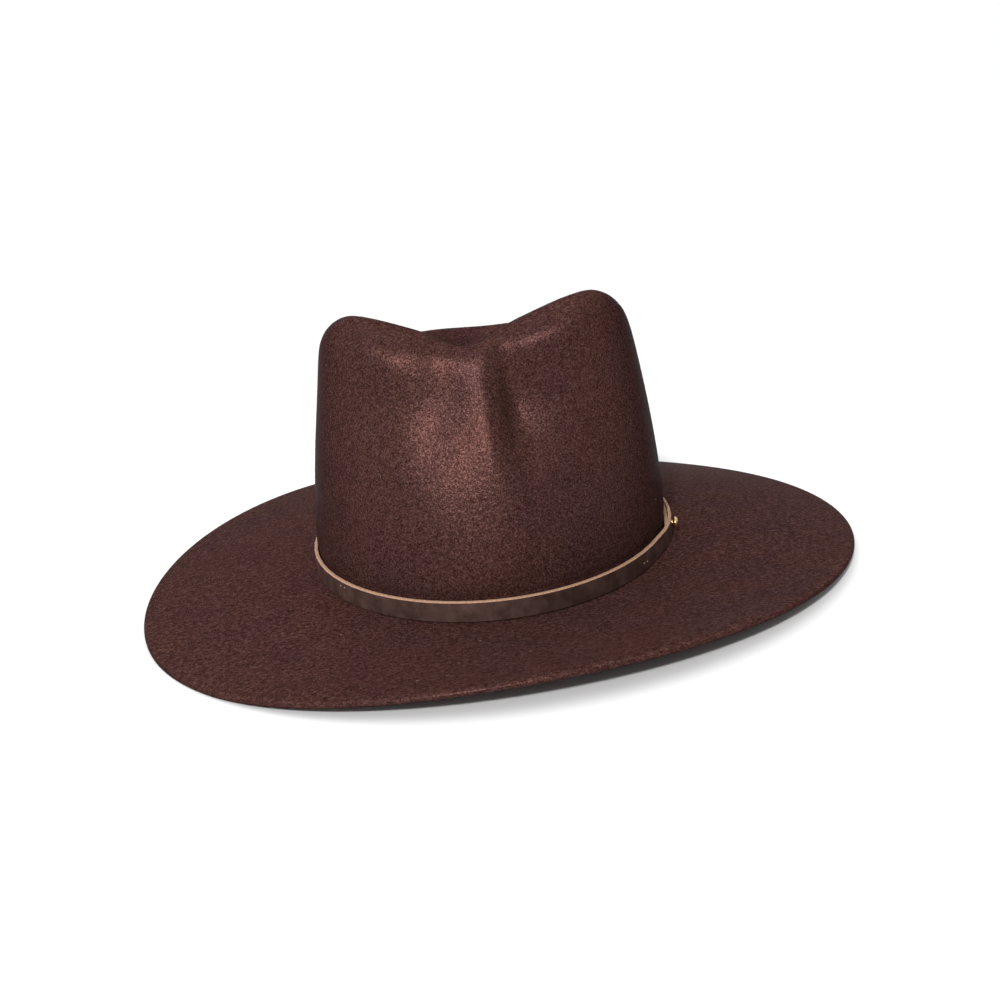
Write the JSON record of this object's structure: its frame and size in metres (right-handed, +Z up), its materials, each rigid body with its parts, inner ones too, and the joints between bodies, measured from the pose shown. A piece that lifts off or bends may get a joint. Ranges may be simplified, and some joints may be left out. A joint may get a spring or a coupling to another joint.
{
  "type": "fedora",
  "caption": "Stiff dark brown felt fedora with a centre dent, pinched front, wide waved brim and a narrow leather band closed by a brass stud.",
  "frame": {"origin": "on the surface that the hat lies on, below the middle of its brim", "axes": "+Z up; -Y is the front of the hat; +X is the wearer's left"},
  "size_m": [0.3292, 0.3696, 0.1275],
  "materials": {
    "brown_felt": "matte pressed felt with a short nap",
    "brown_leather": "smooth, softly shiny, raw tan cut edges",
    "brass_stud": "polished"
  },
  "bodies": {
    "root": {"felt_body": "brown_felt", "leather_band": "brown_leather", "band_stud": "brass_stud"}
  },
  "joints": []
}
